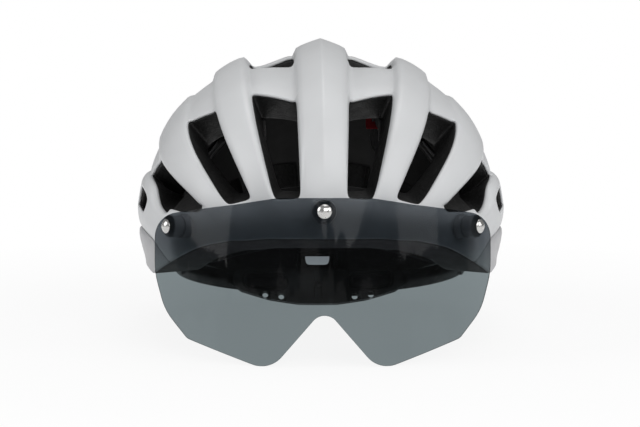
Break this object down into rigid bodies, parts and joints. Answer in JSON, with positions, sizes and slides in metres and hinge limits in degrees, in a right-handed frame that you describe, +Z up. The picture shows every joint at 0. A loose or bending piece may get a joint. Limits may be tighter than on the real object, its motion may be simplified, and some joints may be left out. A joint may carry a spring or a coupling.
{
  "type": "bicycle helmet",
  "caption": "Bicycle helmet with a vented ribbed shell over a foam liner, a clip-on smoked visor on magnets, and a dial-adjusted head cradle.",
  "frame": {"origin": "middle of the footprint, on the table the helmet stands on", "axes": "+X to the picture's right, +Y from the visor to the nape, +Z up"},
  "size_m": [0.2122, 0.2977, 0.1681],
  "materials": {
    "shell_white": "satin",
    "shell_grey": "satin",
    "foam_black": "matte",
    "pad_fabric": "matte",
    "hook_fabric": "matte",
    "tab_fabric": "matte",
    "black_plastic": "satin",
    "webbing": "matte",
    "smoke_lens": "gloss",
    "stud_metal": "polished",
    "magnet_metal": "satin"
  },
  "bodies": {
    "helmet": {"upper_shell": "shell_white", "lower_shell": "shell_grey", "liner": "foam_black", "visor_seat_middle": "black_plastic", "visor_seat_left": "black_plastic", "visor_seat_right": "black_plastic", "shell_magnets": "magnet_metal", "brow_pad": "pad_fabric", "crown_pad_front_left": "pad_fabric", "crown_pad_front_right": "pad_fabric", "crown_pad_rear_left": "pad_fabric", "crown_pad_rear_right": "pad_fabric", "side_pad_left": "pad_fabric", "side_pad_right": "pad_fabric", "hook_dots": "hook_fabric", "pad_tab": "tab_fabric", "temple_anchor_left": "black_plastic", "temple_anchor_right": "black_plastic", "stem_guide": "black_plastic", "strap_anchors": "black_plastic", "front_strap_left": "webbing", "front_strap_right": "webbing", "rear_strap_left": "webbing", "rear_strap_right": "webbing", "strap_divider_left": "black_plastic", "strap_divider_right": "black_plastic", "chin_strap_left": "webbing", "buckle_socket": "black_plastic"},
    "visor": {"visor_lens": "smoke_lens", "stud_middle": "stud_metal", "stud_left": "stud_metal", "stud_right": "stud_metal", "magnet_holder_middle": "black_plastic", "magnet_holder_left": "black_plastic", "magnet_holder_right": "black_plastic", "visor_magnets": "magnet_metal"},
    "cradle": {"cradle_back": "black_plastic", "cradle_front": "black_plastic", "adjuster_stem": "black_plastic", "nape_pad_left": "pad_fabric", "nape_pad_right": "pad_fabric", "click_spring": "magnet_metal"},
    "dial": {"dial_knob": "black_plastic", "dial_pinion": "black_plastic", "dial_screw": "stud_metal"},
    "left_arm_slide": {"left_arm": "black_plastic"},
    "right_arm_slide": {"right_arm": "black_plastic"},
    "buckle_half": {"buckle_plug": "black_plastic", "chin_strap_right": "webbing"}
  },
  "joints": [
    {"name": "visor_slide", "type": "slide", "parent": "helmet", "child": "visor", "axis": [0, -1, 0], "range_m": [0, 0.06]},
    {"name": "cradle_height", "type": "hinge", "parent": "helmet", "child": "cradle", "pos_m": [0, -0.02603, 0.04687], "axis": [1, 0, 0], "range_deg": [-8, 0]},
    {"name": "dial_turn", "type": "hinge", "parent": "cradle", "child": "dial", "pos_m": [0, 0.00652, 0.03702], "axis": [0, 0.9572, -0.2894], "range_deg": [-100, 100]},
    {"name": "left_arm_travel", "type": "hinge", "parent": "cradle", "child": "left_arm_slide", "pos_m": [0, 0.00652, 0.03702], "axis": [0, 0.2894, 0.9572], "range_deg": [-4.28, 4.28]},
    {"name": "right_arm_travel", "type": "hinge", "parent": "cradle", "child": "right_arm_slide", "pos_m": [0, 0.00652, 0.03702], "axis": [0, 0.2894, 0.9572], "range_deg": [-4.28, 4.28]},
    {"name": "buckle_slide", "type": "hinge", "parent": "helmet", "child": "buckle_half", "pos_m": [0, 0.00334, 0.05011], "axis": [0, 0.9965, -0.0841], "range_deg": [0, 10]}
  ],
  "couplings": [
    {"joint": "dial_turn", "follows": "left_arm_travel", "ratio": -23.333},
    {"joint": "right_arm_travel", "follows": "left_arm_travel", "ratio": -1}
  ]
}
